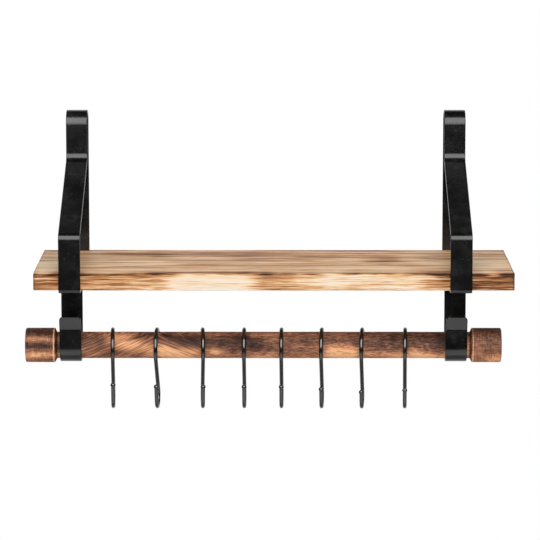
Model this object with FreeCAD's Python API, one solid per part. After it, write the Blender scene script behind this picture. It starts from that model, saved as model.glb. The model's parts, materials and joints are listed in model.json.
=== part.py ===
import FreeCAD, Part
import math
import os

Vector = FreeCAD.Vector

# Wall shelf: a torched pine board held in two bent flat-bar brackets, with a wooden rod that lies in two
# J-hooks under the board and wire S-hooks that hang on the rod. All sizes are in millimetres.
# X runs along the shelf, +Y goes into the wall, +Z is up. The wall is the plane Y = 0, and the origin lies on it,
# in the middle of the four wall screw holes.

# Board
board_length = 450.0
board_depth = 150.0
board_thickness = 16.5
board_edge_round = 1.2
board_overhang = 31.75      # from a bracket to the end of a centred board
board_shift = 8.0           # the board's middle, to the right of the brackets' middle
board_clearance = 0.5       # between the board's long edges and the straps

# Flat bar that the brackets and the rod hooks are bent from
strap_width = 20.5
strap_thickness = 2.5
strap_edge_round = 0.8
bend_inside = 3.0           # inside radius of the rod hook's free bends
front_bend_inside = 4.5     # inside radii of the bracket's two free bends
throat_bend_inside = 8.0
round_share = 0.45          # largest edge round, as a share of the bar's thickness

# Bracket, heights above the top of the board
front_bend_height = 34.5
throat_height = 90.8        # where the round top's front leg meets the slant
top_height = 138.7
top_depth = 26.0            # outside depth of the round top
wall_hole_low = 38.0
wall_hole_high = 68.0
wall_hole_diameter = 5.0

# Rod and its end caps
rod_diameter = 25.4
rod_setback = 51.0          # rod axis behind the board's front edge
rod_drop = 60.5             # rod axis below the board's underside
rod_shift = -2.0            # the rod's and the rod hooks' middle, to the right of the brackets' middle
rod_end_play = 3.25         # between a rod hook and the end cap beside it
rod_end_chamfer = 0.6
cap_diameter = 33.0
cap_length = 29.6
cap_cone_length = 1.8
cap_shoulder = 0.3          # flat on the cap's inner face outside the rod
cap_edge_round = 1.4
dowel_diameter = 8.0
dowel_bite = 16.0           # length of a dowel in the rod, and in the cap

# Rod hook, heights above the rod axis
rod_play = 0.8              # between the rod and the sides of its hook
seat_gap = 0.3              # under the rod at rest, and between an S-hook and the top of the rod
flare_height = 18.4
lip_height = 30.8
flare_angle = 25.0
lip_corner_round = 4.0
foot_length = 36.0

# Wood screws that hold the rod hook's foot and the strap to the board
screw_diameter = 3.5
screw_hole_play = 0.25      # between a screw and the hole in a strap, on the radius
screw_inset = 10.0          # from either end of the foot
screw_cover = 5.5           # wood left above a screw's tip
screw_tip_length = 3.0
screw_tip_diameter = 0.7
screw_head_diameter = 7.0
screw_head_height = 2.2
screw_recess_width = 1.0
screw_recess_length = 3.6
screw_recess_depth = 1.2

# S-hooks
wire_diameter = 3.8
ball_diameter = 4.9
hook_shank = 39.8           # straight length between the two bends
hook_lower_radius = 10.0    # of the wire's middle line
hook_front_leg = 12.2       # height of the front ball over the middle of the lower bend
hook_front_flare = 12.0     # degrees that the front leg leans out
hook_back_leg = 6.0         # straight length from the upper bend to the ball behind the rod
hook_play = 2.4             # between the rod and the sides of a hook's upper bend
hook_end_gap = 33.4         # between a rod hook and the nearest S-hook of an even, centred row
hook_row_shift = -4.4       # the row's middle, to the right of the rod's middle
hook_shifts = [0.3, 2.5, 6.3, 6.0, 1.7, 0.2, -1.2, 0.0]     # how far each hook stands off the even pitch
hook_turns = [-2.0, 3.0, -2.5, 0.5, 1.0, 3.0, 4.0, 2.5]     # degrees that each tip is turned to the left
hook_tip_drops = [-2.0, 0.0, 0.0, 0.0, 0.0, 2.5, 5.5, 3.5]  # how much shorter each front leg is

# Working values
past_face = 1.0             # how far a cutter runs past a face
hair = 1e-6                 # lengths under this count as nothing

# Places worked out from the sizes above
board_top = -(wall_hole_low + wall_hole_high) / 2
board_bottom = board_top - board_thickness
board_back = -strap_thickness - board_clearance
board_front = board_back - board_depth
front_strap_inside = board_front - board_clearance
strap_bottom = board_bottom - strap_thickness
strap_round = min(strap_edge_round, round_share * strap_thickness)
bracket_spacing = board_length - strap_width - 2 * board_overhang
rod_radius = rod_diameter / 2
rod_length = bracket_spacing + strap_width + 2 * rod_end_play
rod_y = board_front + rod_setback
rod_z = board_bottom - rod_drop
bracket_places = {"left": -bracket_spacing / 2, "right": bracket_spacing / 2}
seat_radius = rod_radius + rod_play
seat_z = rod_z + rod_play - seat_gap
hook_strap_front = rod_y + seat_radius
hook_strap_back = hook_strap_front + strap_thickness
foot_end = hook_strap_back + foot_length
screw_rows = [hook_strap_back + screw_inset, foot_end - screw_inset]
screw_seat = strap_bottom - strap_thickness
screw_length = board_top - screw_cover - screw_seat
hook_pitch = (bracket_spacing - strap_width - 2 * hook_end_gap) / (len(hook_shifts) - 1)


def rounded_path(corners, closed):
    """A wire in the plane X = 0 through corners (y, z, radius), with each corner turned into a tangent arc."""
    count = len(corners)
    points = [Vector(0, y, z) for y, z, radius in corners]
    starts, ends, middles = [], [], []
    for i, (y, z, radius) in enumerate(corners):
        corner = points[i]
        if radius == 0:
            starts.append(corner)
            ends.append(corner)
            middles.append(None)
            continue
        back = (points[i - 1] - corner).normalize()
        ahead = (points[(i + 1) % count] - corner).normalize()
        half_angle = back.getAngle(ahead) / 2
        starts.append(corner + back * (radius / math.tan(half_angle)))
        ends.append(corner + ahead * (radius / math.tan(half_angle)))
        bisector = (back + ahead).normalize()
        middles.append(corner + bisector * (radius / math.sin(half_angle) - radius))
    edges = []
    for i in range(count):
        if middles[i]:
            edges.append(Part.Arc(starts[i], middles[i], ends[i]).toShape())
        following = starts[(i + 1) % count]
        last = i == count - 1
        if (closed or not last) and ends[i].distanceToPoint(following) > hair:
            edges.append(Part.LineSegment(ends[i], following).toShape())
    return Part.Wire(edges)


def strap_from(face, middle_x):
    """Flat bar: a side profile in the plane X = 0 drawn out to the strap's width about middle_x."""
    solid = face.extrude(Vector(strap_width, 0, 0))
    solid.translate(Vector(middle_x - strap_width / 2, 0, 0))
    return solid


def side_edges(solid, middle_x):
    """The edges that lie in the strap's two side faces."""
    found = []
    for edge in solid.Edges:
        box = edge.BoundBox
        flat = box.XLength < hair
        if flat and abs(abs(box.XMin - middle_x) - strap_width / 2) < hair:
            found.append(edge)
    return found


def upright_hole(x, y, low, high):
    """A cutter for a screw's clearance hole through a strap between the heights low and high."""
    radius = screw_diameter / 2 + screw_hole_play
    return Part.makeCylinder(radius, high - low + 2 * past_face, Vector(x, y, low - past_face))


def make_board():
    low = Vector(board_shift - board_length / 2, board_front, board_bottom)
    board = Part.makeBox(board_length, board_depth, board_thickness, low)
    board = board.makeFillet(board_edge_round, board.Edges)
    for x in bracket_places.values():
        for y in screw_rows:
            board = board.cut(screw_body(x, y))
    return board


def make_bracket(x):
    top_inside = top_depth / 2 - strap_thickness
    throat_y = -top_depth + strap_thickness
    top_z = board_top + top_height - strap_thickness
    inside = rounded_path([
        (-strap_thickness, board_bottom, board_edge_round),
        (front_strap_inside, board_bottom, board_edge_round),
        (front_strap_inside, board_top + front_bend_height, front_bend_inside),
        (throat_y, board_top + throat_height, throat_bend_inside + strap_thickness),
        (throat_y, top_z, top_inside),
        (-strap_thickness, top_z, top_inside),
    ], closed=True)
    outside = inside.makeOffset2D(strap_thickness)
    profile = Part.Face(outside).cut(Part.Face(inside))
    bracket = strap_from(profile.Faces[0], x)
    bracket = bracket.makeFillet(strap_round, side_edges(bracket, x))
    for height in (wall_hole_low, wall_hole_high):
        start = Vector(x, -strap_thickness - past_face, board_top + height)
        hole_length = strap_thickness + 2 * past_face
        hole = Part.makeCylinder(wall_hole_diameter / 2, hole_length, start, Vector(0, 1, 0))
        bracket = bracket.cut(hole)
    for y in screw_rows:
        bracket = bracket.cut(upright_hole(x, y, strap_bottom, board_bottom))
    return bracket


def make_rod_hook(x):
    lip_y = rod_y - seat_radius
    flare_run = (lip_height - flare_height) * math.tan(math.radians(flare_angle))
    rod_side = rounded_path([
        (lip_y - flare_run, rod_z + lip_height, 0),
        (lip_y, rod_z + flare_height, bend_inside + strap_thickness),
        (lip_y, seat_z - seat_radius, seat_radius),
        (hook_strap_front, seat_z - seat_radius, seat_radius),
        (hook_strap_front, strap_bottom, bend_inside + strap_thickness),
        (foot_end, strap_bottom, 0),
    ], closed=False)
    profile = rod_side.makeOffset2D(strap_thickness, fill=True, openResult=True)
    hook_x = x + rod_shift
    hook = strap_from(profile, hook_x)
    tip_corners = [e for e in side_edges(hook, hook_x) if abs(e.Length - strap_thickness) < hair]
    hook = hook.makeFillet(lip_corner_round, tip_corners)
    hook = hook.makeFillet(strap_round, side_edges(hook, hook_x))
    for y in screw_rows:
        hook = hook.cut(upright_hole(x, y, screw_seat, strap_bottom))
    return hook


def screw_body(x, y):
    """The shank and point of a wood screw that enters the board from below."""
    shank_length = screw_length - screw_tip_length
    shank = Part.makeCylinder(screw_diameter / 2, shank_length, Vector(x, y, screw_seat))
    tip_start = Vector(x, y, screw_seat + shank_length)
    tip = Part.makeCone(screw_diameter / 2, screw_tip_diameter / 2, screw_tip_length, tip_start)
    return shank.fuse(tip).removeSplitter()


def make_screw(x, y):
    head_low = screw_seat - screw_head_height
    head = Part.makeCylinder(screw_head_diameter / 2, screw_head_height, Vector(x, y, head_low))
    rim = [e for e in head.Edges if e.BoundBox.ZMax < head_low + hair]
    head = head.makeFillet(screw_head_height / 2, rim)
    long_half = screw_recess_length / 2
    short_half = screw_recess_width / 2
    for half_x, half_y in ((long_half, short_half), (short_half, long_half)):
        corner = Vector(x - half_x, y - half_y, head_low)
        head = head.cut(Part.makeBox(2 * half_x, 2 * half_y, screw_recess_depth, corner))
    return head.fuse(screw_body(x, y)).removeSplitter()


def make_board_screws():
    return Part.makeCompound([make_screw(x, y) for x in bracket_places.values() for y in screw_rows])


def rod_cylinder(radius, start, length, sign):
    """A cylinder on the rod's axis that starts at start from the rod's middle and runs outwards."""
    foot = Vector(rod_shift + sign * start, rod_y, rod_z)
    return Part.makeCylinder(radius, length, foot, Vector(sign, 0, 0))


def make_dowel(sign):
    return rod_cylinder(dowel_diameter / 2, rod_length / 2 - dowel_bite, 2 * dowel_bite, sign)


def make_rod():
    rod = rod_cylinder(rod_radius, -rod_length / 2, rod_length, 1)
    rims = [e for e in rod.Edges if e.BoundBox.XLength < hair]
    rod = rod.makeChamfer(rod_end_chamfer, rims)
    return rod.cut(make_dowel(-1)).cut(make_dowel(1))


def make_rod_cap(sign):
    """A turned cap: a flat shoulder against the rod, a short cone and a straight body with an eased end."""
    body_start = rod_length / 2 + cap_cone_length
    body = rod_cylinder(cap_diameter / 2, body_start, cap_length - cap_cone_length, sign)
    outer_x = rod_shift + sign * (rod_length / 2 + cap_length)
    rim = [e for e in body.Edges if abs(e.BoundBox.XMin - outer_x) + e.BoundBox.XLength < hair]
    body = body.makeFillet(cap_edge_round, rim)
    foot = Vector(rod_shift + sign * rod_length / 2, rod_y, rod_z)
    direction = Vector(sign, 0, 0)
    cone = Part.makeCone(rod_radius + cap_shoulder, cap_diameter / 2, cap_cone_length, foot, direction)
    return body.fuse(cone).removeSplitter().cut(make_dowel(sign))


def hook_wire_path(tip_drop):
    """The middle line of an S-hook's wire about the rod axis: back tip, over the rod, shank, lower bend, front tip."""
    upper_radius = rod_radius + hook_play + wire_diameter / 2
    upper_z = seat_gap - hook_play
    lower_radius = hook_lower_radius
    lean = math.atan2(upper_radius + lower_radius, hook_shank)
    side = Vector(0, math.cos(lean), math.sin(lean))
    flare = math.radians(hook_front_flare)
    leg_side = Vector(0, math.cos(flare), math.sin(flare))
    leg_up = Vector(0, -math.sin(flare), math.cos(flare))
    leg_length = (hook_front_leg - tip_drop + lower_radius * math.sin(flare)) / math.cos(flare)
    upper_middle = Vector(0, 0, upper_z)
    lower_middle = Vector(0, 0, upper_z - math.hypot(hook_shank, upper_radius + lower_radius))
    back = upper_middle + Vector(0, upper_radius, 0)
    over = upper_middle + Vector(0, 0, upper_radius)
    leave_rod = upper_middle - side * upper_radius
    reach_bend = lower_middle + side * lower_radius
    under = lower_middle - Vector(0, 0, lower_radius)
    front = lower_middle - leg_side * lower_radius
    back_tip = back - Vector(0, 0, hook_back_leg)
    front_tip = front + leg_up * leg_length
    edges = [
        Part.LineSegment(back_tip, back).toShape(),
        Part.Arc(back, over, leave_rod).toShape(),
        Part.LineSegment(leave_rod, reach_bend).toShape(),
        Part.Arc(reach_bend, under, front).toShape(),
        Part.LineSegment(front, front_tip).toShape(),
    ]
    return Part.Wire(edges), back_tip, front_tip


def make_s_hook(number):
    """One S-hook, hung so that its centre of mass is under the rod axis and then turned about the vertical."""
    path, back_tip, front_tip = hook_wire_path(hook_tip_drops[number])
    section = Part.Wire(Part.makeCircle(wire_diameter / 2, back_tip, Vector(0, 0, 1)))
    hook = path.makePipeShell([section], True, False)
    for tip in (back_tip, front_tip):
        hook = hook.fuse(Part.makeSphere(ball_diameter / 2, tip))
    hook = hook.removeSplitter().Solids[0]
    mass_middle = hook.CenterOfMass
    hang = math.degrees(math.atan2(-mass_middle.y, -mass_middle.z))
    hook.rotate(Vector(0, 0, 0), Vector(1, 0, 0), hang)
    hook.rotate(Vector(0, 0, 0), Vector(0, 0, 1), -hook_turns[number])
    row_start = -hook_pitch * (len(hook_shifts) - 1) / 2
    along = row_start + number * hook_pitch + hook_shifts[number]
    hook.translate(Vector(rod_shift + hook_row_shift + along, rod_y, rod_z))
    return hook


def make_parts():
    parts = {"shelf_board": make_board()}
    for side, x in bracket_places.items():
        parts[side + "_bracket"] = make_bracket(x)
        parts[side + "_rod_hook"] = make_rod_hook(x)
    parts["board_screws"] = make_board_screws()
    parts["rod"] = make_rod()
    parts["left_rod_cap"] = make_rod_cap(-1)
    parts["right_rod_cap"] = make_rod_cap(1)
    parts["cap_dowels"] = Part.makeCompound([make_dowel(-1), make_dowel(1)])
    for number in range(len(hook_shifts)):
        parts["s_hook_" + str(number + 1)] = make_s_hook(number)
    return parts


os.makedirs("parts", exist_ok=True)
for name, shape in make_parts().items():
    shape.exportStep("parts/" + name + ".step")
    print(name, len(shape.Solids), shape.isValid(), round(shape.Volume), shape.BoundBox)
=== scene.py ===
import bpy
import json
import math
import numpy as np
from mathutils import Matrix, Vector, noise


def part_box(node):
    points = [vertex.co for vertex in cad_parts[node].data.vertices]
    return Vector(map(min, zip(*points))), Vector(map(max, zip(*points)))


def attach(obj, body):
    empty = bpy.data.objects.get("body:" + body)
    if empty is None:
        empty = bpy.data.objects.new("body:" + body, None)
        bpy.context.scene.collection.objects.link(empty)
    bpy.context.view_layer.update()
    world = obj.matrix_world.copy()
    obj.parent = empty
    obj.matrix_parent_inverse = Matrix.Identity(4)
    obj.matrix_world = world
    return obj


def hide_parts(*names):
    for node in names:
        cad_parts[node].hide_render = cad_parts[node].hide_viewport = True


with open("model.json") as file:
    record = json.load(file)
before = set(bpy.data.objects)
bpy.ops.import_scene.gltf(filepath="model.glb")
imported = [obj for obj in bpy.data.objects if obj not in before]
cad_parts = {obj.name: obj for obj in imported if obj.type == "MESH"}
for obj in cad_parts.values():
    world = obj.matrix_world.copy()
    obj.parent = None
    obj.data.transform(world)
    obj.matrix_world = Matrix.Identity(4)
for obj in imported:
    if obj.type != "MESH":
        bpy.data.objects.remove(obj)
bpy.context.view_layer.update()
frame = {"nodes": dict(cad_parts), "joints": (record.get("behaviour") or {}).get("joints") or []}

# Wall shelf: torched pine board in black flat-bar brackets, torched rod in J-hooks, wire S-hooks on it.
# Blender works in metres and most sizes here are written in millimetres, so MM turns one into the other.
MM = 0.001


# Helpers

def linear(hex_colour):
    """An sRGB hex colour as the linear RGBA that node sockets take."""
    parts = [int(hex_colour[i:i + 2], 16) / 255 for i in (1, 3, 5)]
    return [c / 12.92 if c <= 0.04045 else ((c + 0.055) / 1.055) ** 2.4 for c in parts] + [1.0]


def add(tree, kind, inputs=None, stops=None, **settings):
    """Adds one node. inputs maps a socket's name or number to a value, to the output that feeds it, or to a
    node, which feeds it from its first output."""
    made = tree.nodes.new(kind)
    for key, value in settings.items():
        setattr(made, key, value)
    for key, value in (inputs or {}).items():
        if isinstance(value, bpy.types.Node):
            value = value.outputs[0]
        if isinstance(value, bpy.types.NodeSocket):
            tree.links.new(value, made.inputs[key])
        else:
            made.inputs[key].default_value = value
    if stops:
        ramp = made.color_ramp
        while len(ramp.elements) < len(stops):
            ramp.elements.new(1.0)
        for element, (place, colour) in zip(ramp.elements, stops):
            element.position = place
            element.color = linear(colour)
    return made


def new_material(name):
    material = bpy.data.materials.new(name)
    material.use_nodes = True
    tree = material.node_tree
    return material, tree, tree.nodes["Principled BSDF"]


def new_piece(name, points, faces, material):
    """A mesh object at the origin, smooth shaded, with its place in its points (millimetres)."""
    mesh = bpy.data.meshes.new(name)
    mesh.from_pydata([tuple(p * MM) for p in points], [], faces)
    mesh.shade_smooth()
    mesh.materials.append(material)
    piece = bpy.data.objects.new(name, mesh)
    bpy.context.scene.collection.objects.link(piece)
    return piece


def grain_noise(points, along, across, seed):
    """Noise drawn out along X, from -1 to 1, with the given sizes in millimetres."""
    return np.array([noise.noise((x / along + seed, y / across, z / across)) for x, y, z in points])


def from_stretches(x, stretches):
    """The value at each x from (place along X, value) pairs, with straight runs between the places."""
    places, values = zip(*stretches)
    return np.interp(x, places, values)


def scorch(x, height, strokes):
    """How dark a few strokes of the torch leave each point. A stroke is (place along X, height, half
    length, half height, rise per length, strength), in millimetres. A negative strength is a spot that
    it missed."""
    dark = np.zeros(len(x))
    for place, level, half_length, half_height, rise, strength in strokes:
        run = x - place
        drop = height - level - rise * run
        dark += strength * np.exp(-(run / half_length) ** 2 - (drop / half_height) ** 2)
    return dark


def set_char(piece, values):
    """Keeps how far the torch burnt each point, from 0 to 1, as the mesh's own attribute."""
    attribute = piece.data.attributes.new("char", "FLOAT", "POINT")
    attribute.data.foreach_set("value", values.astype(np.float32))


# Materials

def growth_rings(tree, place):
    """How far into the dark late wood of its ring each spot lies. The pith runs along X, 95 mm below the
    board's top, so rings 4.8 mm apart curve across its ends."""
    pith, ring_width = (0.0, -0.052, -0.148), 0.0048
    wander = add(tree, "ShaderNodeMapping", {"Vector": place, "Scale": (5, 16, 22)})
    wander = add(tree, "ShaderNodeTexNoise", {"Vector": wander, "Scale": 1.0, "Detail": 2.0})
    outward = add(tree, "ShaderNodeVectorMath", {0: place, 1: pith}, operation="SUBTRACT")
    outward = add(tree, "ShaderNodeVectorMath", {0: outward, 1: (0.0, 1.0, 1.0)}, operation="MULTIPLY")
    radius = add(tree, "ShaderNodeVectorMath", {0: outward}, operation="LENGTH").outputs["Value"]
    radius = add(tree, "ShaderNodeMath", {0: wander, 1: 0.012, 2: radius}, operation="MULTIPLY_ADD")
    ring = add(tree, "ShaderNodeMath", {0: radius, 1: 1 / ring_width}, operation="MULTIPLY")
    ring = add(tree, "ShaderNodeMath", {0: ring}, operation="FRACT")
    return add(tree, "ShaderNodeMapRange", {"Value": ring, "From Min": 0.35, "From Max": 0.92},
               interpolation_type="SMOOTHSTEP")


def late_wood_lines(tree, place):
    """Late wood as thin dark lines: 4 mm apart on the edges, and 16 mm on the top, which is cut almost
    along the rings."""
    lines = add(tree, "ShaderNodeMapping", {"Vector": place, "Scale": (3, 62, 250)})
    lines = add(tree, "ShaderNodeTexNoise", {"Vector": lines, "Scale": 1.0, "Detail": 1.0})
    lines = add(tree, "ShaderNodeMath", {0: lines, 1: 0.5}, operation="SUBTRACT")
    lines = add(tree, "ShaderNodeMath", {0: lines}, operation="ABSOLUTE")
    return add(tree, "ShaderNodeMapRange", {"Value": lines, "From Min": 0.0, "From Max": 0.06,
                                            "To Min": 0.60, "To Max": -0.14})


def torched_pine():
    """Pine board, planed, torched and oiled: cream to golden wood with brown fibres along its length,
    burnt to dark brown where the torch lingered, growth rings on its ends, satin, with the grain slightly
    raised."""
    material, tree, shader = new_material("torched_pine")
    spot = add(tree, "ShaderNodeTexCoord").outputs
    place = spot["Object"]
    facing = add(tree, "ShaderNodeSeparateXYZ", {0: spot["Normal"]}).outputs
    upward = add(tree, "ShaderNodeMapRange", {"Value": facing[2], "From Min": 0.5, "From Max": 0.9})
    char = add(tree, "ShaderNodeAttribute", attribute_name="char").outputs["Fac"]
    # streaks 220 mm long, 2.4 mm wide on the edges; on the top drawn 7 mm wide, to show at a low angle
    streaks = add(tree, "ShaderNodeMapping", {"Vector": place, "Scale": (4.5, 150, 420)})
    streaks = add(tree, "ShaderNodeTexNoise", {"Vector": streaks, "Scale": 1.0, "Detail": 3.0,
                                               "Roughness": 0.65})
    # fibres 70 mm long, 1 mm wide on the edges and 2.4 mm on the top
    fibres = add(tree, "ShaderNodeMapping", {"Vector": place, "Scale": (14, 420, 1000)})
    fibres = add(tree, "ShaderNodeTexNoise", {"Vector": fibres, "Scale": 1.0, "Detail": 4.0,
                                              "Roughness": 0.65})
    # splinters 20 mm long, 0.7 mm wide on the edges and 1.7 mm on the top
    splinters = add(tree, "ShaderNodeMapping", {"Vector": place, "Scale": (50, 600, 1500)})
    splinters = add(tree, "ShaderNodeTexNoise", {"Vector": splinters, "Scale": 1.0, "Detail": 2.0,
                                                 "Roughness": 0.6})
    # fibres and splinters make up most of the grain on the edges, streaks half of it on the planed top
    fine = add(tree, "ShaderNodeMix", {"Factor": 0.50, 2: fibres, 3: splinters})
    share = add(tree, "ShaderNodeMapRange", {"Value": upward, "To Min": 0.08, "To Max": 0.50})
    grain = add(tree, "ShaderNodeMix", {"Factor": share, 2: fine, 3: streaks})
    # the rings show on the sawn ends
    rings = growth_rings(tree, place)
    sawn = add(tree, "ShaderNodeMath", {0: facing[0]}, operation="ABSOLUTE")
    sawn = add(tree, "ShaderNodeMapRange", {"Value": sawn, "From Min": 0.6, "From Max": 0.9,
                                            "To Min": 0.03, "To Max": 0.16})
    grain = add(tree, "ShaderNodeMath", {0: rings, 1: sawn, 2: grain}, operation="MULTIPLY_ADD")
    # the grain swings from -1 to 1, and the late wood adds to it, less on the edges
    swing = add(tree, "ShaderNodeMapRange", {"Value": grain, "From Min": 0.38, "From Max": 0.64,
                                             "To Min": -1.0, "To Max": 1.0})
    shown = add(tree, "ShaderNodeMapRange", {"Value": upward, "To Min": 0.25, "To Max": 1.15})
    swing = add(tree, "ShaderNodeMath", {0: late_wood_lines(tree, place), 1: shown, 2: swing},
                operation="MULTIPLY_ADD")
    # burnt wood shows the swing most, and the brushed top a little more than the edges
    depth = add(tree, "ShaderNodeMapRange", {"Value": char, "From Min": 0.02, "From Max": 0.60,
                                             "To Min": 0.17, "To Max": 0.51})
    brushed = add(tree, "ShaderNodeMapRange", {"Value": upward, "To Min": 1.0, "To Max": 1.08})
    depth = add(tree, "ShaderNodeMath", {0: depth, 1: brushed}, operation="MULTIPLY")
    tone = add(tree, "ShaderNodeMath", {0: swing, 1: depth, 2: char}, operation="MULTIPLY_ADD")
    # the flame went over the whole top, so none of it is as pale as the front edge
    palest = add(tree, "ShaderNodeMath", {0: upward, 1: 0.09}, operation="MULTIPLY")
    tone = add(tree, "ShaderNodeMath", {0: tone, 1: palest, 2: 0.20}, operation="SMOOTH_MAX")
    colour = add(tree, "ShaderNodeValToRGB", {"Fac": tone}, stops=[
        (0.00, "#f3e6d8"), (0.13, "#f0d0a7"), (0.28, "#dda875"), (0.45, "#ba8252"),
        (0.65, "#8a5634"), (0.85, "#58341f"), (1.00, "#382117")])
    tree.links.new(colour.outputs[0], shader.inputs["Base Color"])
    # charred wood is duller, and the oil is thin, so the wood reflects little
    rough = add(tree, "ShaderNodeMapRange", {"Value": fibres, "To Min": 0.38, "To Max": 0.58})
    burnt = add(tree, "ShaderNodeMapRange", {"Value": char, "From Min": 0.4, "From Max": 0.8,
                                             "To Max": 0.3})
    rough = add(tree, "ShaderNodeMath", {0: rough, 1: burnt}, operation="ADD")
    tree.links.new(rough.outputs[0], shader.inputs["Roughness"])
    shader.inputs["Specular IOR Level"].default_value = 0.12
    relief = add(tree, "ShaderNodeMath", {0: rings, 1: 0.3, 2: fibres}, operation="MULTIPLY_ADD")
    bump = add(tree, "ShaderNodeBump", {"Height": relief, "Strength": 0.5, "Distance": 0.0003})
    tree.links.new(bump.outputs[0], shader.inputs["Normal"])
    return material


def torched_rod_wood():
    """Turned softwood, torched darker than the board: red-brown with orange patches, grain that fans out
    from a knot at the left and turns into fine speckles away from it, turning marks on the caps, satin."""
    material, tree, shader = new_material("torched_rod_wood")
    place = add(tree, "ShaderNodeTexCoord").outputs["Object"]
    char = add(tree, "ShaderNodeAttribute", attribute_name="char").outputs["Fac"]
    axes = add(tree, "ShaderNodeSeparateXYZ", {0: place}).outputs
    # the fibres rise to the knot at X = -103 mm and fall behind it, 4 mm in 10, and run level past -58 mm
    fan = add(tree, "ShaderNodeClamp", {"Value": axes[0], "Min": -0.196, "Max": -0.058})
    fan = add(tree, "ShaderNodeMath", {0: fan, 1: 0.103}, operation="ADD")
    fan = add(tree, "ShaderNodeMath", {0: fan}, operation="ABSOLUTE")
    wander = add(tree, "ShaderNodeTexNoise", {"Vector": place, "Scale": 60.0, "Detail": 2.0})
    level = add(tree, "ShaderNodeMath", {0: fan, 1: 0.42, 2: axes[2]}, operation="MULTIPLY_ADD")
    level = add(tree, "ShaderNodeMath", {0: wander, 1: 0.0018, 2: level}, operation="MULTIPLY_ADD")
    fanned = add(tree, "ShaderNodeCombineXYZ", {0: axes[0], 1: axes[1], 2: level})
    # fibres 1 mm wide and 22 mm long, bands 5 mm wide and 30 mm long, speckles 1.2 mm wide and 5 mm long
    fibres = add(tree, "ShaderNodeMapping", {"Vector": fanned, "Scale": (45, 300, 980)})
    fibres = add(tree, "ShaderNodeTexNoise", {"Vector": fibres, "Scale": 1.0, "Detail": 2.0})
    bands = add(tree, "ShaderNodeMapping", {"Vector": fanned, "Scale": (34, 90, 190)})
    bands = add(tree, "ShaderNodeTexNoise", {"Vector": bands, "Scale": 1.0, "Detail": 3.0})
    speckles = add(tree, "ShaderNodeMapping", {"Vector": place, "Scale": (210, 800, 860)})
    speckles = add(tree, "ShaderNodeTexNoise", {"Vector": speckles, "Scale": 1.0, "Detail": 2.0,
                                                "Roughness": 0.6})
    # the fibres give way to speckles 45 to 80 mm to either side of X = -125 mm
    aside = add(tree, "ShaderNodeMath", {0: axes[0], 1: 0.125}, operation="ADD")
    aside = add(tree, "ShaderNodeMath", {0: aside}, operation="ABSOLUTE")
    aside = add(tree, "ShaderNodeMapRange", {"Value": aside, "From Min": 0.045, "From Max": 0.080,
                                             "To Max": 0.78})
    fine = add(tree, "ShaderNodeMix", {"Factor": aside, 2: fibres, 3: speckles})
    # past the rod's ends the caps show turning marks too, 1.2 mm wide and 7 mm long round the axis
    marks = add(tree, "ShaderNodeMapping", {"Vector": place, "Scale": (820, 140, 140)})
    marks = add(tree, "ShaderNodeTexNoise", {"Vector": marks, "Scale": 1.0, "Detail": 2.0})
    on_cap = add(tree, "ShaderNodeMath", {0: axes[0], 1: 0.002}, operation="ADD")
    on_cap = add(tree, "ShaderNodeMath", {0: on_cap}, operation="ABSOLUTE")
    on_cap = add(tree, "ShaderNodeMapRange", {"Value": on_cap, "From Min": 0.1965, "From Max": 0.1970,
                                              "To Max": 0.40})
    fine = add(tree, "ShaderNodeMix", {"Factor": on_cap, 2: fine, 3: marks})
    tone = add(tree, "ShaderNodeMapRange", {"Value": fine, "From Min": 0.34, "From Max": 0.66,
                                            "To Min": -0.22, "To Max": 0.22})
    # the bands fade towards the right
    broad = add(tree, "ShaderNodeMapRange", {"Value": axes[0], "From Min": 0.045, "From Max": 0.085,
                                             "To Min": 0.72, "To Max": 0.26})
    bands = add(tree, "ShaderNodeMath", {0: bands, 1: 0.5}, operation="SUBTRACT")
    tone = add(tree, "ShaderNodeMath", {0: bands, 1: broad, 2: tone}, operation="MULTIPLY_ADD")
    tone = add(tree, "ShaderNodeMath", {0: tone, 1: char}, operation="ADD")
    colour = add(tree, "ShaderNodeValToRGB", {"Fac": tone}, stops=[
        (0.00, "#fabf90"), (0.18, "#dd9f72"), (0.38, "#b27959"), (0.56, "#835b48"),
        (0.76, "#573a2e"), (1.00, "#2e1e17")])
    tree.links.new(colour.outputs[0], shader.inputs["Base Color"])
    rough = add(tree, "ShaderNodeMapRange", {"Value": fine, "To Min": 0.42, "To Max": 0.62})
    tree.links.new(rough.outputs[0], shader.inputs["Roughness"])
    # the char leaves little shine
    shader.inputs["Specular IOR Level"].default_value = 0.08
    bump = add(tree, "ShaderNodeBump", {"Height": fine, "Strength": 0.5, "Distance": 0.0003})
    tree.links.new(bump.outputs[0], shader.inputs["Normal"])
    return material


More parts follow.
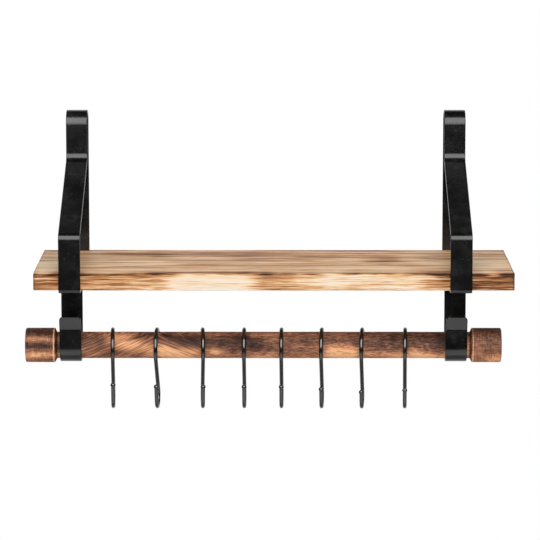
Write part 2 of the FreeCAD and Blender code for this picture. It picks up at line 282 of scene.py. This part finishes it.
def black_powder_coat():
    """Steel bar with a sprayed and baked black coat: satin, faintly pebbled, with clouds of slightly
    duller coat, and a few pale dust nibs and greyish smears where it was handled."""
    material, tree, shader = new_material("black_powder_coat")
    place = add(tree, "ShaderNodeTexCoord").outputs["Object"]
    # clouds 18 mm across
    clouds = add(tree, "ShaderNodeTexNoise", {"Vector": place, "Scale": 55.0, "Detail": 3.0})
    # real pebbling is about 0.5 mm; 1.3 mm is as fine as shows at this size
    pebbles = add(tree, "ShaderNodeTexNoise", {"Vector": place, "Scale": 770.0, "Detail": 2.0})
    # nibs up to 1.4 mm across, about one to every 7 mm
    nibs = add(tree, "ShaderNodeTexVoronoi", {"Vector": place, "Scale": 150.0, "Randomness": 1.0})
    nibs = add(tree, "ShaderNodeMapRange", {"Value": nibs.outputs["Distance"], "From Min": 0.07,
                                            "From Max": 0.14, "To Min": 1.0, "To Max": 0.0})
    colour = add(tree, "ShaderNodeValToRGB", {"Fac": clouds}, stops=[(0.30, "#050505"), (0.70, "#0f0f0f")])
    colour = add(tree, "ShaderNodeMix", {"Factor": nibs, 6: colour, 7: linear("#2a2a29")}, data_type="RGBA")
    # smears about 15 mm across, with fine broken edges
    smears = add(tree, "ShaderNodeTexNoise", {"Vector": place, "Scale": 65.0, "Detail": 8.0,
                                              "Roughness": 0.72})
    smears = add(tree, "ShaderNodeMapRange", {"Value": smears, "From Min": 0.52, "From Max": 0.72,
                                              "To Max": 0.75})
    colour = add(tree, "ShaderNodeMix", {"Factor": smears, 6: colour.outputs[2], 7: linear("#2b2b2b")},
                 data_type="RGBA")
    tree.links.new(colour.outputs[2], shader.inputs["Base Color"])
    rough = add(tree, "ShaderNodeMapRange", {"Value": clouds, "From Min": 0.3, "From Max": 0.7,
                                             "To Min": 0.17, "To Max": 0.24})
    tree.links.new(rough.outputs[0], shader.inputs["Roughness"])
    bump = add(tree, "ShaderNodeBump", {"Height": pebbles, "Strength": 0.12, "Distance": 0.0002})
    tree.links.new(bump.outputs[0], shader.inputs["Normal"])
    return material


def black_wire_coat():
    """Steel wire, bent and dipped black: smoother and glossier than the bar, with soft clouds 6 mm wide."""
    material, tree, shader = new_material("black_wire_coat")
    place = add(tree, "ShaderNodeTexCoord").outputs["Object"]
    clouds = add(tree, "ShaderNodeTexNoise", {"Vector": place, "Scale": 160.0, "Detail": 2.0})
    colour = add(tree, "ShaderNodeValToRGB", {"Fac": clouds}, stops=[(0.30, "#0a0a0a"), (0.70, "#121212")])
    tree.links.new(colour.outputs[0], shader.inputs["Base Color"])
    rough = add(tree, "ShaderNodeMapRange", {"Value": clouds, "From Min": 0.3, "From Max": 0.7,
                                             "To Min": 0.16, "To Max": 0.22})
    tree.links.new(rough.outputs[0], shader.inputs["Roughness"])
    bump = add(tree, "ShaderNodeBump", {"Height": clouds, "Strength": 0.05, "Distance": 0.0002})
    tree.links.new(bump.outputs[0], shader.inputs["Normal"])
    shader.inputs["IOR"].default_value = 1.65
    return material


def phosphated_steel():
    """Wood screws, phosphated black: dull dark grey with a mottled bloom 1 mm across."""
    material, tree, shader = new_material("phosphated_steel")
    place = add(tree, "ShaderNodeTexCoord").outputs["Object"]
    bloom = add(tree, "ShaderNodeTexNoise", {"Vector": place, "Scale": 900.0, "Detail": 4.0})
    colour = add(tree, "ShaderNodeValToRGB", {"Fac": bloom}, stops=[(0.30, "#1d1d1e"), (0.70, "#343436")])
    tree.links.new(colour.outputs[0], shader.inputs["Base Color"])
    rough = add(tree, "ShaderNodeMapRange", {"Value": bloom, "To Min": 0.45, "To Max": 0.65})
    tree.links.new(rough.outputs[0], shader.inputs["Roughness"])
    shader.inputs["Metallic"].default_value = 0.6
    return material


def bare_beech():
    """Glue dowels of bare beech: pale pinkish tan with brown flecks along the pin, 4 by 0.7 mm."""
    material, tree, shader = new_material("bare_beech")
    place = add(tree, "ShaderNodeTexCoord").outputs["Object"]
    flecks = add(tree, "ShaderNodeMapping", {"Vector": place, "Scale": (260, 1500, 1500)})
    flecks = add(tree, "ShaderNodeTexNoise", {"Vector": flecks, "Scale": 1.0, "Detail": 3.0})
    colour = add(tree, "ShaderNodeValToRGB", {"Fac": flecks}, stops=[(0.35, "#b98e66"), (0.55, "#d8b48c")])
    tree.links.new(colour.outputs[0], shader.inputs["Base Color"])
    shader.inputs["Roughness"].default_value = 0.7
    return material


pine = torched_pine()
rod_wood = torched_rod_wood()
bar_coat = black_powder_coat()
wire_coat = black_wire_coat()
screw_steel = phosphated_steel()
beech = bare_beech()


# Board: a block whose edges are worn round unevenly and whose faces are brushed along the grain

edge_offsets = [0.0, 0.35, 0.75, 1.2, 1.8, 2.6]     # mesh lines close to an edge
mesh_steps = (2.0, 2.6, 0.9)                        # between mesh lines elsewhere, along X, Y and Z
edge_round, round_swing = 0.8, 0.40                 # the worn edges' round, and its slow change
splinter_size = 1.1                                 # how much more came off with a splinter
least_round, most_round = 0.4, 2.0
brush_depth = 0.12                                  # what the brush took off on average

# The torch on the board. Stretches give how far it burnt at places along X, strokes add to that.
front_stretches = [
    (-217, 0.47), (-195, 0.50), (-165, 0.44), (-130, 0.42), (-100, 0.35), (-84, 0.06), (-18, 0.02),
    (-2, 0.39), (15, 0.30), (40, 0.21), (58, 0.11), (105, 0.15), (140, 0.15), (160, 0.36), (178, 0.71),
    (233, 0.66)]
front_strokes = [
    (-185, -55, 32, 3.5, 0, 0.12), (20, -56, 22, 4, 0, 0.14), (8, -68, 20, 2, 0, 0.16),
    (85, -67, 26, 3, 0, 0.08), (215, -54, 9, 1.5, 0, -0.45), (60, -62, 20, 3, 0.02, -0.10),
    (-150, -67, 20, 2, 0, -0.12), (205, -63, 14, 2, 0.1, 0.14)]
tongue_length = 7.0                                 # how far the flame licked past the end of a stretch
top_burn, top_swing = 0.355, 0.17
top_strokes = [
    (-110, -45, 30, 22, 0, 0.20), (-142, -35, 16, 24, 0, 0.18), (60, -60, 45, 16, 0, 0.14),
    (120, -72, 15, 20, 0, 0.20), (190, -75, 60, 70, 0, -0.15), (-35, -35, 22, 22, 0, -0.05),
    (-60, -120, 60, 12, 0, -0.15), (60, -125, 60, 12, 0, -0.15), (-185, -100, 38, 45, 0, -0.13),
    (5, -4, 300, 3, 0, 0.25), (85, -70, 12, 30, 0, -0.13), (158, -45, 14, 30, 0, 0.14),
    (-128, -120, 35, 22, 0, -0.11), (110, -118, 60, 22, 0, -0.08), (-40, -147, 60, 10, 0, 0.20),
    (-120, -146, 40, 8, 0, 0.12), (130, -146, 40, 8, 0, -0.20), (205, -148, 30, 6, 0, -0.12),
    (-205, -108, 22, 42, 0, -0.27), (45, -148, 40, 7, 0, -0.10), (212, -115, 26, 30, 0, -0.10)]
# the upper front edge caught the flame in a broken line, which reaches down the front and back over the top
flame_stretches = [
    (-217, 0.62), (-175, 0.62), (-107, 0.42), (-79, 0.34), (-55, 0.30), (-28, 0.42), (-3, 0.56), (30, 0.45),
    (55, 0.34), (110, 0.40), (128, 0.50), (170, 0.62), (233, 0.60)]
flame_reach_down = [(-172, 2.6), (-150, 1.3), (-90, 1.8), (150, 1.6), (172, 2.8)]
flame_reach_back, flame_on_top = 14.0, 0.30
under_burn = 0.30
under_strokes = [(-90, -60, 60, 40, 0, 0.2), (90, -100, 70, 40, 0, 0.25), (0, -20, 50, 20, 0, 0.2)]
back_stretches = [(-217, 0.5), (-150, 0.2), (-60, 0.35), (30, 0.1), (120, 0.4), (233, 0.55)]
end_burn, end_rim_burn = 0.42, 0.15                 # on the ends, and how much more at their rims
edge_burn = 0.25                                    # how much more on the round edges
corner_burn, corner_width = 0.4, 1.1                # the thin corners round the ends char first


def grid_lines(half, step):
    """Places of the mesh lines across a face, close together near its edges."""
    inset = edge_offsets[-1]
    middle = np.linspace(-half + inset, half - inset, max(2, int((2 * half - 2 * inset) / step)))
    near = np.array(edge_offsets[:-1])
    return np.concatenate([-half + near, middle, (half - near)[::-1]])


def block_surface(lines):
    """Points and faces of a block's six sides on the given lines, with shared edges."""
    counts = [len(line) for line in lines]
    numbers, points, faces = {}, [], []

    def number(spot):
        if spot not in numbers:
            numbers[spot] = len(points)
            points.append([lines[axis][spot[axis]] for axis in range(3)])
        return numbers[spot]

    for axis in range(3):
        first, second = (axis + 1) % 3, (axis + 2) % 3
        for end in (0, counts[axis] - 1):
            for i in range(counts[first] - 1):
                for j in range(counts[second] - 1):
                    corners = []
                    for a, b in ((i, j), (i + 1, j), (i + 1, j + 1), (i, j + 1)):
                        spot = [0, 0, 0]
                        spot[axis], spot[first], spot[second] = end, a, b
                        corners.append(number(tuple(spot)))
                    faces.append(corners if end else corners[::-1])
    return np.array(points), faces


def make_board():
    """The board, with its edges worn round, more where splinters came off, and its faces brushed."""
    low, high = [np.array(corner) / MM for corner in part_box("shelf_board")]
    half, middle = (high - low) / 2, (high + low) / 2
    points, faces = block_surface([grid_lines(*size) for size in zip(half, mesh_steps)])
    wear = edge_round + round_swing * grain_noise(points, 45.0, 30.0, 3.0)
    wear += splinter_size * np.clip(grain_noise(points, 14.0, 9.0, 31.0) - 0.25, 0, 1)
    wear = np.clip(wear, least_round, most_round)[:, None]
    core = np.clip(points, -half + wear, half - wear)
    out = points - core
    length = np.linalg.norm(out, axis=1)[:, None]
    normal = out / np.maximum(length, 1e-9)
    brushed = brush_depth + brush_depth * grain_noise(points, 60.0, 3.0, 7.0)[:, None]
    shaped = core + normal * (wear - brushed)
    piece = new_piece("torched_board", shaped + middle, faces, pine)
    set_char(piece, board_char(points + middle, normal, low, high))
    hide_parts("shelf_board")
    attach(piece, "shelf")


def board_char(points, normal, low, high):
    """How far the torch burnt the board: its front edge in stretches, its top and ends more evenly."""
    x, y, z = points.T
    flame = from_stretches(x, flame_stretches)
    flame *= np.clip(1.0 + 1.6 * grain_noise(points, 16.0, 60.0, 53.0), 0.2, 1.6)
    ragged = x + tongue_length * grain_noise(points, 24.0, 1.5, 71.0)
    front = from_stretches(ragged, front_stretches) + scorch(x, z, front_strokes)
    front += flame * np.exp(-((high[2] - z) / from_stretches(x, flame_reach_down)) ** 2)
    top = top_burn + top_swing * grain_noise(points, 42.0, 26.0, 83.0) + scorch(x, y, top_strokes)
    top += flame_on_top * flame * np.exp(-((y - low[1]) / flame_reach_back) ** 2)
    under = under_burn + scorch(x, y, under_strokes)
    back = from_stretches(x, back_stretches)
    half_thickness = (high[2] - low[2]) / 2
    ends = end_burn + end_rim_burn * np.abs(z - (low[2] + high[2]) / 2) / half_thickness
    # each point takes the value of the face that it is on, and the round edges mix those that meet there
    toward = np.stack([-normal[:, 1], normal[:, 2], -normal[:, 2], normal[:, 1], np.abs(normal[:, 0])])
    weights = np.clip(toward, 0, 1) ** 2
    burns = np.stack([front, top, under, back, ends])
    char = (weights * burns).sum(0) / np.maximum(weights.sum(0), 1e-9)
    char += edge_burn * (1 - np.abs(normal).max(axis=1))
    to_end = np.minimum(x - low[0], high[0] - x)
    char += corner_burn * np.exp(-(to_end / corner_width) ** 2) * (1 - normal[:, 0] ** 2)
    return np.clip(char, 0, 1)


# Rod and caps: turned pieces, slightly uneven, with the torch's strokes on them

rod_axis = (sum(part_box("rod"), Vector()) / 2).yz / MM
rod_radius = 12.7
rod_ease = 0.6
rod_lines, rod_sides = 260, 96                      # mesh lines along the rod and round it
cap_shoulder, cap_cone, cap_ease = 13.0, 1.8, 1.4   # shoulder's radius, cone's length, end's round
cap_lines, cap_round_lines, cap_sides = 26, 6, 80   # mesh lines along it, over its round and about it
turning_depth = 0.10                                # what turning left uneven
rod_burn, burn_and_painted_shade_above = 0.575, 0.10                  # how far it is burnt, and how much darker above: burnt more, and painted shade under the board
worn_highlight_place, worn_highlight_width = 0.7, 0.55                  # the ring past the cone that is worn bare, and painted paler as the highlight of its edge
joint_shade, joint_shade_width = 0.35, 0.9                        # painted shade in the grooves where the rod and caps meet
# strokes of the torch, with heights from the rod's axis, on the side that faces the room
rod_strokes = [
    (-122, 2.5, 21, 6.5, 0.0, -0.44), (-138, 10, 13, 7, 0.0, -0.42), (-114, 8, 9, 4, 0.0, 0.24),
    (-157, 5, 8, 4, 0.1, 0.22), (-96, 0, 7, 4, 0.0, -0.22), (-68, 7, 7, 8, 0.0, 0.10),
    (36, 6, 6, 3, 0.0, 0.11), (62, -4, 7, 4, 0.0, -0.14), (80, -10, 12, 3.5, 0.0, -0.14),
    (83, 6, 9, 4, 0.0, 0.12), (-129, -7, 10, 4, 0.0, 0.14), (-84, -7, 26, 7, -0.12, -0.62),
    (-82, 7.5, 24, 5.5, -0.1, 0.34), (-38, 5, 18, 8, 0.0, 0.18), (-47, -5, 8, 3.0, 0.0, -0.40),
    (-30, 1, 10, 7, 0.0, 0.10), (0, 12, 50, 3, 0.0, -0.30), (-9, 2.5, 13, 6, -0.2, 0.36),
    (-4, -9, 17, 3, 0.15, -0.24), (8, -10, 12, 4, 0.0, -0.10), (73, -7.5, 19, 8, 0.0, -0.84),
    (107, 4, 18, 6, 0.0, 0.10), (100, -9, 9, 4, 0.0, -0.12), (124, 5, 9, 7, 0.0, 0.12),
    (120, -8, 14, 4, 0.0, -0.2), (152, 6, 22, 6, 0.0, 0.15), (150, -10, 25, 4.5, 0.0, -0.62),
    (141, -5, 7, 4, 0.0, -0.20), (167, 5, 8, 10, 0.0, 0.30), (172, 5, 5, 7, 0.0, 0.12),
    (190, 0, 4, 14, 0.0, -0.35), (-160, 0, 13, 3, 0.4, 0.10), (-152, 8, 8, 3, 0.0, -0.18),
    (-215, 8, 20, 2.6, 0.0, -0.38), (-215, -7, 20, 4, 0.0, -0.46), (-215, 1.5, 20, 2.4, 0.0, 0.34),
    (-215, 14, 20, 3, 0.0, 0.24), (-212, -14, 20, 3, 0.0, 0.26), (218, -12, 10, 4, 0.15, -0.42),
    (203, 3, 6, 9, 0.0, -0.14), (212, 12, 14, 5, 0.0, 0.08), (-43, 0, 12, 2.8, 0.0, -0.14),
    (-69, 9.5, 8, 3, 0.0, 0.13), (-134, 10, 8, 3, 0.0, -0.13), (-134, -9.5, 7, 3, 0.0, -0.12),
    (6, 9.5, 9, 3, 0.0, -0.13), (-165, 5, 6, 3, 0.0, -0.14)]


def turned_surface(profile, sides):
    """Points and faces of a solid turned about X, from (x, radius) pairs that start and end on the axis."""
    points, faces, rings = [], [], []
    for x, radius in profile:
        if radius == 0:
            rings.append([len(points)])
            points.append([x, 0.0, 0.0])
            continue
        ring = []
        for side in range(sides):
            angle = 2 * math.pi * side / sides
            ring.append(len(points))
            points.append([x, radius * math.cos(angle), radius * math.sin(angle)])
        rings.append(ring)
    for near, far in zip(rings, rings[1:]):
        for side in range(sides):
            after = (side + 1) % sides
            if len(near) == 1:
                faces.append([near[0], far[after], far[side]])
            elif len(far) == 1:
                faces.append([near[side], near[after], far[0]])
            else:
                faces.append([near[side], near[after], far[after], far[side]])
    return np.array(points), faces


def make_turned(name, node, profile, sides, worn_highlight_rings, shaded_joints):
    """A turned piece on the rod's axis, burnt by the strokes, with rings worn bare and painted paler as a
    highlight, and rings of painted shade at the joints.
    """
    points, faces = turned_surface(profile, sides)
    spread = np.linalg.norm(points[:, 1:], axis=1)[:, None]
    uneven = turning_depth + turning_depth * grain_noise(points, 40.0, 7.0, 11.0)[:, None]
    points[:, 1:] *= 1 - uneven / np.maximum(spread, 5.0)
    # the strokes are laid on the side that faces the room; the wall side gets them the other way round
    x, y, z = points.T
    facing = np.clip(0.5 - y / np.maximum(2 * spread[:, 0], 1e-9), 0, 1)
    char = rod_burn + facing * scorch(x, z, rod_strokes) + (1 - facing) * scorch(-x, -z, rod_strokes)
    # the upper side is burnt more, and darker still as painted shade under the board
    char += burn_and_painted_shade_above * z / rod_radius
    # the rings are painted paler: worn bare, and a painted highlight where the edge catches light
    for ring, bared_and_lit in worn_highlight_rings:
        char -= bared_and_lit * np.exp(-((x - ring) / worn_highlight_width) ** 2)
    # painted shade in the grooves where the rod and caps meet
    for ring in shaded_joints:
        char += joint_shade * np.exp(-((x - ring) / joint_shade_width) ** 2)
    placed = points + np.array([0.0, *rod_axis])
    piece = new_piece(name, placed, faces, rod_wood)
    set_char(piece, np.clip(char, 0, 1))
    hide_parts(node)
    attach(piece, "rod")


def make_rod():
    """The rod, with eased ends."""
    low, high = [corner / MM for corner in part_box("rod")]
    radius = (high.z - low.z) / 2
    inner = np.linspace(low.x + rod_ease, high.x - rod_ease, rod_lines)
    profile = [(low.x, 0), (low.x, radius - rod_ease)] + [(x, radius) for x in inner]
    profile += [(high.x, radius - rod_ease), (high.x, 0)]
    make_turned("torched_rod", "rod", profile, rod_sides, [], [low.x, high.x])


def make_cap(name, node, sign, bared_and_lit):
    """A turned cap: a shoulder against the rod, a short cone and a straight body with a rounded end.
    sign is the way it points along X, and the last argument is how much of the char comes off its edge, as
    wear and as a painted highlight."""
    low, high = [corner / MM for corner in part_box(node)]
    start, end = (low.x, high.x) if sign > 0 else (high.x, low.x)
    radius = (high.z - low.z) / 2
    profile = [(start, 0), (start, cap_shoulder * 0.5), (start, cap_shoulder)]
    profile += [(start + sign * cap_cone * t, cap_shoulder + (radius - cap_shoulder) * t)
                for t in (0.33, 0.66, 0.93)]
    # lines closer together where the worn ring with its painted highlight is
    profile += [(start + sign * (cap_cone + t), radius) for t in (0.25, 0.5, 0.75, 1.0, 1.25, 1.5)]
    body = np.linspace(start + sign * (cap_cone + 2), end - sign * (cap_ease + 0.5), cap_lines)
    profile += [(x, radius) for x in body]
    for turn in range(cap_round_lines):
        angle = math.pi / 2 * turn / (cap_round_lines - 1)
        from_end, from_side = cap_ease * (1 - math.sin(angle)), cap_ease * (1 - math.cos(angle))
        profile.append((end - sign * from_end, radius - from_side))
    profile += [(end, (radius - cap_ease) * t) for t in (0.75, 0.5, 0.25, 0)]
    if sign < 0:
        profile.reverse()
    worn_highlight_ring = start + sign * (cap_cone + worn_highlight_place)
    make_turned(name, node, profile, cap_sides, [(worn_highlight_ring, bared_and_lit)], [start])


# S-hooks: wire bent along a path, with a ball on either tip

wire_diameter, ball_diameter = 3.8, 4.9
hook_turns = [-2.0, 3.0, -2.5, 0.5, 1.0, 3.0, 4.0, 2.5]     # degrees that each tip is turned to the left
tip_drops = [-2.0, 0.0, 0.0, 0.0, 0.0, 2.5, 5.5, 3.5]       # how much shorter each front leg is
hook_hangs = [4.42, 4.05, 4.05, 4.05, 4.05, 3.60, 3.06, 3.42]   # degrees that each hook tips as it hangs


def bent_wire_tree():
    """Geometry Nodes: rounds a path's corners, draws the wire along it and sets a ball on either end."""
    tree = bpy.data.node_groups.new("bent_wire", "GeometryNodeTree")
    sockets = tree.interface
    sockets.new_socket("Path", in_out="INPUT", socket_type="NodeSocketGeometry")
    for name in ("Wire Diameter", "Ball Diameter"):
        sockets.new_socket(name, in_out="INPUT", socket_type="NodeSocketFloat")
    sockets.new_socket("Coat", in_out="INPUT", socket_type="NodeSocketMaterial")
    sockets.new_socket("Hook", in_out="OUTPUT", socket_type="NodeSocketGeometry")
    given = add(tree, "NodeGroupInput").outputs
    bend = add(tree, "GeometryNodeInputNamedAttribute", {"Name": "bend"}, data_type="FLOAT")
    path = add(tree, "GeometryNodeMeshToCurve", {0: given["Path"]})
    path = add(tree, "GeometryNodeFilletCurve", {"Curve": path, "Count": 24, "Radius": bend}, mode="POLY")
    half_wire = add(tree, "ShaderNodeMath", {0: given["Wire Diameter"], 1: 0.5}, operation="MULTIPLY")
    half_ball = add(tree, "ShaderNodeMath", {0: given["Ball Diameter"], 1: 0.5}, operation="MULTIPLY")
    section = add(tree, "GeometryNodeCurvePrimitiveCircle", {"Resolution": 24, "Radius": half_wire})
    drawn = add(tree, "GeometryNodeCurveToMesh", {"Curve": path, "Profile Curve": section,
                                                  "Fill Caps": True})
    ends = add(tree, "GeometryNodeCurveEndpointSelection", {"Start Size": 1, "End Size": 1})
    tip = add(tree, "GeometryNodeMeshUVSphere", {"Segments": 28, "Rings": 18, "Radius": half_ball})
    tips = add(tree, "GeometryNodeInstanceOnPoints", {"Points": path, "Selection": ends, "Instance": tip})
    whole = add(tree, "GeometryNodeJoinGeometry", {0: drawn})
    tree.links.new(tips.outputs[0], whole.inputs[0])
    whole = add(tree, "GeometryNodeRealizeInstances", {0: whole})
    whole = add(tree, "GeometryNodeSetShadeSmooth", {"Geometry": whole, "Shade Smooth": True})
    whole = add(tree, "GeometryNodeSetMaterial", {"Geometry": whole, "Material": given["Coat"]})
    add(tree, "NodeGroupOutput", {0: whole})
    return tree


def hook_corners(tip_drop):
    """Corners (y, z, bend radius) of the wire's middle line about the rod's axis, from the back tip on."""
    play, gap = 2.4, 0.3
    shank, lower, front_leg, back_leg, flare = 39.8, 10.0, 12.2, 6.0, math.radians(12)
    upper = rod_radius + play + wire_diameter / 2
    middle = gap - play
    lean = math.atan2(upper + lower, shank)
    lower_z = middle - math.hypot(shank, upper + lower)
    rise = math.tan(math.pi / 4 + lean / 2)
    tip_z = lower_z + front_leg - tip_drop
    tip_y = -lower / math.cos(flare) - (tip_z - lower_z) * math.tan(flare)
    return [
        (upper, middle - back_leg, 0), (upper, middle + upper, upper),
        (-upper * rise, middle + upper, upper), (lower * rise, lower_z - lower, lower),
        (-lower * math.tan(math.pi / 4 - flare / 2), lower_z - lower, lower), (tip_y, tip_z, 0)]


def make_hook(number, tree):
    """One S-hook: its path is placed as it hangs on its joint, and the tree draws the wire along it."""
    body = "s_hook_" + str(number + 1)
    joint = next(j for j in frame["joints"] if j["child"] == body)
    corners = hook_corners(tip_drops[number])
    pose = Matrix.Translation(joint["pos_m"]) @ Matrix.Rotation(math.radians(-hook_turns[number]), 4, "Z")
    pose = pose @ Matrix.Rotation(math.radians(hook_hangs[number]), 4, "X")
    path = bpy.data.meshes.new("hook_path")
    path.from_pydata([pose @ Vector((0, y * MM, z * MM)) for y, z, bend in corners],
                     [(i, i + 1) for i in range(len(corners) - 1)], [])
    bends = path.attributes.new("bend", "FLOAT", "POINT")
    bends.data.foreach_set("value", [bend * MM for y, z, bend in corners])
    shape = bpy.data.objects.new("hook_path", path)
    bpy.context.scene.collection.objects.link(shape)
    modifier = shape.modifiers.new("bent_wire", "NODES")
    modifier.node_group = tree
    given = {"Wire Diameter": wire_diameter * MM, "Ball Diameter": ball_diameter * MM, "Coat": wire_coat}
    for socket in tree.interface.items_tree:
        if socket.name in given:
            modifier[socket.identifier] = given[socket.name]
    bpy.context.view_layer.update()
    done = shape.evaluated_get(bpy.context.evaluated_depsgraph_get())
    mesh = bpy.data.meshes.new_from_object(done)
    bpy.data.objects.remove(shape)
    mesh.name = "wire_hook_" + str(number + 1)
    piece = bpy.data.objects.new(mesh.name, mesh)
    bpy.context.scene.collection.objects.link(piece)
    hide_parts(body)
    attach(piece, body)


make_board()
make_rod()
# the last number is how pale each cap's ring is painted: wear and a painted highlight
make_cap("left_turned_cap", "left_rod_cap", -1, 0.85)
make_cap("right_turned_cap", "right_rod_cap", 1, 0.45)
hook_tree = bent_wire_tree()
for number in range(len(tip_drops)):
    make_hook(number, hook_tree)

finishes = {"left_bracket": bar_coat, "right_bracket": bar_coat, "left_rod_hook": bar_coat,
            "right_rod_hook": bar_coat, "board_screws": screw_steel, "cap_dowels": beech}
for name, finish in finishes.items():
    for slot in frame["nodes"][name].material_slots:
        slot.material = finish


# Studio: floor, room, lights and the photograph's camera

def studio_floor():
    """The floor lies far below, as under a shelf on a wall. It is pale to the camera, with the shelf's
    soft shadow left on it, pale in reflections where it lies behind the shelf, as the card lies on it in
    front, and clear when seen from below."""
    material, tree, shader = new_material("pale_floor")
    shader.inputs["Base Color"].default_value = linear("#f2f1ef")
    shader.inputs["Roughness"].default_value = 0.9
    rays = add(tree, "ShaderNodeLightPath").outputs
    place = add(tree, "ShaderNodeTexCoord").outputs["Object"]
    place = add(tree, "ShaderNodeSeparateXYZ", {0: place}).outputs
    behind = add(tree, "ShaderNodeMapRange", {"Value": place[1], "From Min": 1.3, "From Max": 2.0})
    mirror = add(tree, "ShaderNodeMath", {0: rays["Is Glossy Ray"], 1: rays["Is Transmission Ray"]},
                 operation="MAXIMUM")
    mirror = add(tree, "ShaderNodeMath", {0: mirror, 1: behind}, operation="MULTIPLY")
    mirror = add(tree, "ShaderNodeMath", {0: mirror, 1: 0.8}, operation="MULTIPLY")
    camera = add(tree, "ShaderNodeMath", {0: rays["Is Camera Ray"], 1: 0.93}, operation="MULTIPLY")
    white = add(tree, "ShaderNodeMath", {0: camera, 1: mirror}, operation="MAXIMUM")
    glow = add(tree, "ShaderNodeEmission", {"Color": linear("#ffffff"), "Strength": 1.0})
    seen = add(tree, "ShaderNodeMixShader", {0: white, 1: shader, 2: glow})
    underside = add(tree, "ShaderNodeNewGeometry").outputs["Backfacing"]
    clear = add(tree, "ShaderNodeBsdfTransparent")
    seen = add(tree, "ShaderNodeMixShader", {0: underside, 1: seen, 2: clear})
    tree.links.new(seen.outputs[0], tree.nodes["Material Output"].inputs["Surface"])
    bpy.ops.mesh.primitive_circle_add(vertices=96, radius=3.6, fill_type="NGON", location=(0, -1.1, -1.35))
    floor = bpy.context.object
    floor.name = "studio_floor"
    floor.data.materials.append(material)


def studio_world():
    """A dim room for the light that falls on the object. The camera sees white, and so do reflections and
    refractions where they look at the backdrop, behind the object."""
    world = bpy.data.worlds.new("studio")
    world.use_nodes = True
    bpy.context.scene.world = world
    tree = world.node_tree
    tree.nodes.clear()
    rays = add(tree, "ShaderNodeLightPath").outputs
    look = add(tree, "ShaderNodeTexCoord").outputs["Generated"]
    look = add(tree, "ShaderNodeSeparateXYZ", {0: look}).outputs
    behind = add(tree, "ShaderNodeMapRange", {"Value": look[1], "From Min": 0.62, "From Max": 0.80},
                 interpolation_type="SMOOTHSTEP")
    mirror = add(tree, "ShaderNodeMath", {0: rays["Is Glossy Ray"], 1: rays["Is Transmission Ray"]},
                 operation="MAXIMUM")
    mirror = add(tree, "ShaderNodeMath", {0: mirror, 1: behind}, operation="MULTIPLY")
    white = add(tree, "ShaderNodeMath", {0: rays["Is Camera Ray"], 1: mirror}, operation="MAXIMUM")
    room = add(tree, "ShaderNodeBackground", {"Color": linear("#ffffff"), "Strength": 0.045})
    backdrop = add(tree, "ShaderNodeBackground", {"Color": linear("#ffffff"), "Strength": 1.0})
    seen = add(tree, "ShaderNodeMixShader", {0: white, 1: room, 2: backdrop})
    add(tree, "ShaderNodeOutputWorld", {0: seen})


def panel_light(name, place, target, width, height, radiance):
    """A rectangular lamp that faces the target, with its brightness as seen from the object."""
    lamp = bpy.data.lights.new(name, "AREA")
    lamp.shape = "RECTANGLE"
    lamp.size, lamp.size_y = width, height
    lamp.energy = radiance * math.pi * width * height
    light = bpy.data.objects.new(name, lamp)
    light.location = place
    light.rotation_euler = (Vector(target) - Vector(place)).to_track_quat("-Z", "Y").to_euler()
    light.visible_camera = False
    bpy.context.scene.collection.objects.link(light)
    return light


def photo_camera():
    """The photograph's viewpoint: about 3 m away, 9 degrees above, a long lens for a square frame."""
    focal_pixels, frame_pixels = 3214.0, 540.0
    pitch, yaw = math.radians(8.76), math.radians(0.107)
    ahead = Vector((-math.sin(yaw) * math.cos(pitch), math.cos(yaw) * math.cos(pitch), -math.sin(pitch)))
    data = bpy.data.cameras.new("photo_camera")
    data.sensor_width = 36.0
    data.lens = data.sensor_width * focal_pixels / frame_pixels
    data.clip_end = 50.0
    camera = bpy.data.objects.new("photo_camera", data)
    camera.location = Vector((9.9, -3118.0, 407.0)) * MM
    camera.rotation_euler = ahead.to_track_quat("-Z", "Y").to_euler()
    bpy.context.scene.collection.objects.link(camera)
    bpy.context.scene.camera = camera


studio_floor()
studio_world()
# a softbox in front with a strip on either side, a panel overhead, a bright card on the floor in front and
# a weak panel behind, so that the wall side shows too
panel_light("softbox", (0.0, -1.82, 1.06), (0.0, -0.1, 0.05), 1.4, 2.0, 4.6)
# the strips only show as reflections, which widens the glints on the round wire
for side in (-1, 1):
    strip = panel_light("side_strip", (side * 1.15, -1.82, 1.06), (side * 1.15, -0.1, 0.05), 0.9, 2.0, 9.0)
    strip.visible_diffuse = False
# the overhead and the back panel light the wood and are kept out of reflections
top_panel = panel_light("top_panel", (0.0, -0.35, 1.75), (0.0, -0.1, 0.0), 2.4, 1.4, 1.3)
top_panel.visible_glossy = False
panel_light("floor_card", (0.0, -1.52, -1.33), (0.0, -1.52, 0.0), 4.4, 1.95, 0.95)
back_panel = panel_light("back_panel", (0.0, 2.2, 0.5), (0.0, -0.05, -0.05), 2.6, 1.4, 0.7)
back_panel.visible_glossy = False
photo_camera()
bpy.context.scene.view_settings.view_transform = "Standard"
